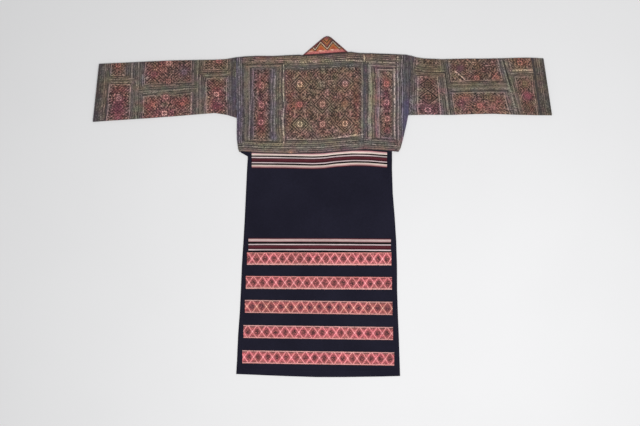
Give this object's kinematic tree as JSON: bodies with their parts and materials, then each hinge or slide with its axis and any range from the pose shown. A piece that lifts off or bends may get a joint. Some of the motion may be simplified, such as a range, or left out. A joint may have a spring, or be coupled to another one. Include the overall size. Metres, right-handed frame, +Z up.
{
  "type": "hmong embroidered jacket",
  "caption": "Short embroidered jacket with straight sleeves, a folded neck band and a long striped back tail, laid flat on a surface with its back up.",
  "frame": {"origin": "on the surface that the garment lies on, under the middle of its box", "axes": "+X across the back to its right sleeve, +Y from the tail to the neck band, +Z up from the surface"},
  "size_m": [1.0982, 0.8161, 0.0061],
  "materials": {
    "lining_cloth": "plain woven cotton, matte",
    "neck_band_cloth": "dense counted embroidery, matte",
    "body_embroidery": "dense counted embroidery, matte",
    "cuff_cloth": "striped embroidery, matte",
    "indigo_cloth": "dyed cotton, matte with a faint sheen",
    "rose_strip": "plain woven cotton, matte",
    "cream_strip": "plain woven cotton, matte",
    "maroon_strip": "plain woven cotton, matte",
    "black_strip": "plain woven cotton, matte",
    "lattice_band": "patterned embroidery, matte"
  },
  "bodies": {
    "root": {"front_left": "lining_cloth", "front_right": "lining_cloth", "neck_band": "neck_band_cloth", "back_panel": "body_embroidery", "sleeve_left": "body_embroidery", "sleeve_right": "body_embroidery", "cuff_left": "cuff_cloth", "cuff_right": "cuff_cloth", "tail_panel": "indigo_cloth", "upper_strip_1": "rose_strip", "upper_strip_2": "black_strip", "upper_strip_3": "cream_strip", "upper_strip_4": "maroon_strip", "upper_strip_5": "cream_strip", "upper_strip_6": "black_strip", "upper_strip_7": "rose_strip", "upper_strip_8": "maroon_strip", "lower_strip_1": "maroon_strip", "lower_strip_2": "rose_strip", "lower_strip_3": "black_strip", "lower_strip_4": "cream_strip", "lower_strip_5": "maroon_strip", "lower_strip_6": "cream_strip", "lower_strip_7": "black_strip", "band_1": "lattice_band", "band_2": "lattice_band", "band_3": "lattice_band", "band_4": "lattice_band", "band_5": "lattice_band"}
  },
  "joints": []
}
